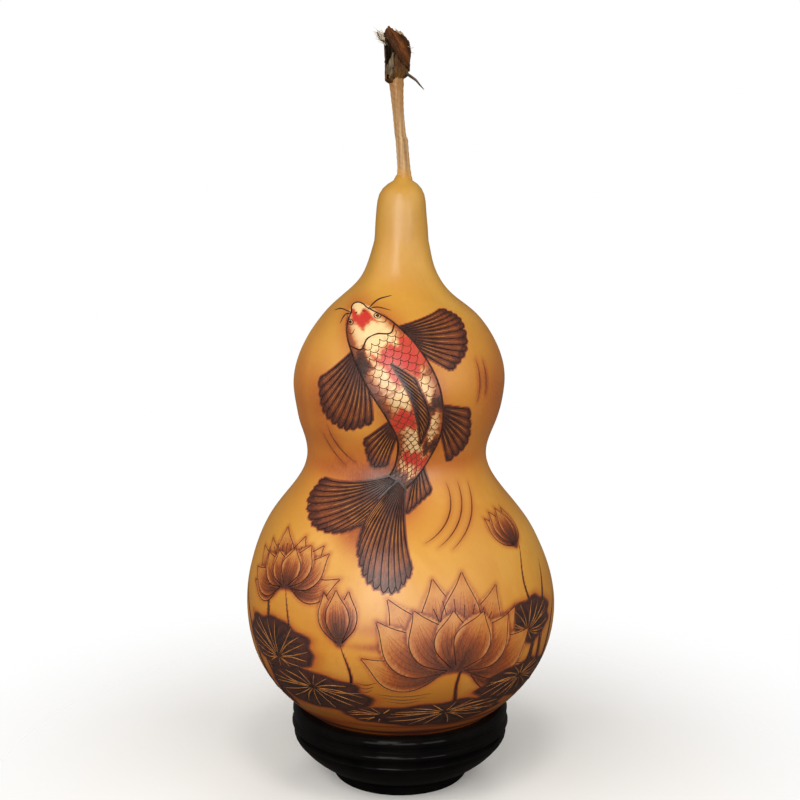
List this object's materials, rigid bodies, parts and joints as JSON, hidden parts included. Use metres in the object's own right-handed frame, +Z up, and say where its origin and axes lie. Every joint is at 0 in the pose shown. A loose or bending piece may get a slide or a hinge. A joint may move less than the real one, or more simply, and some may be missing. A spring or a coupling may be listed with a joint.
{
  "type": "gourd ornament",
  "caption": "Dried double-bulb bottle gourd with burnt and tinted decoration, its stem and a scrap of vine, resting in a turned black-lacquered bowl stand.",
  "frame": {"origin": "on the table, under the middle of the stand's foot", "axes": "+Z up along the gourd, -Y towards the viewer, +X to the right"},
  "size_m": [0.174, 0.174, 0.4171],
  "materials": {
    "gourd_skin": "waxed, semi-gloss, with burnt and tinted decoration",
    "pith": "dry and spongy, matt",
    "seed": "dry, satin",
    "stem": "dry, ridged, matt",
    "vine": "dry, fibrous, matt",
    "bark": "dry, cracked, matt",
    "fibre": "dry, matt",
    "lacquer": "turned wood, gloss black lacquer"
  },
  "bodies": {
    "stand": {"stand_bowl": "lacquer", "stand_rim": "lacquer"},
    "gourd": {"gourd_shell": "gourd_skin", "neck_pith": "pith", "stem": "stem", "vine_stub": "vine", "bark_flap": "bark", "tendril": "bark", "torn_fibres": "fibre"},
    "seed_heap": {"seeds": "seed"}
  },
  "joints": [
    {"name": "gourd_lift", "type": "slide", "parent": "stand", "child": "gourd", "axis": [0, 0, 1], "range_m": [0, 0.06]},
    {"name": "seeds_roll", "type": "hinge", "parent": "gourd", "child": "seed_heap", "pos_m": [0, 0, 0.121], "axis": [0, 1, 0], "range_deg": [-25, 25]}
  ]
}
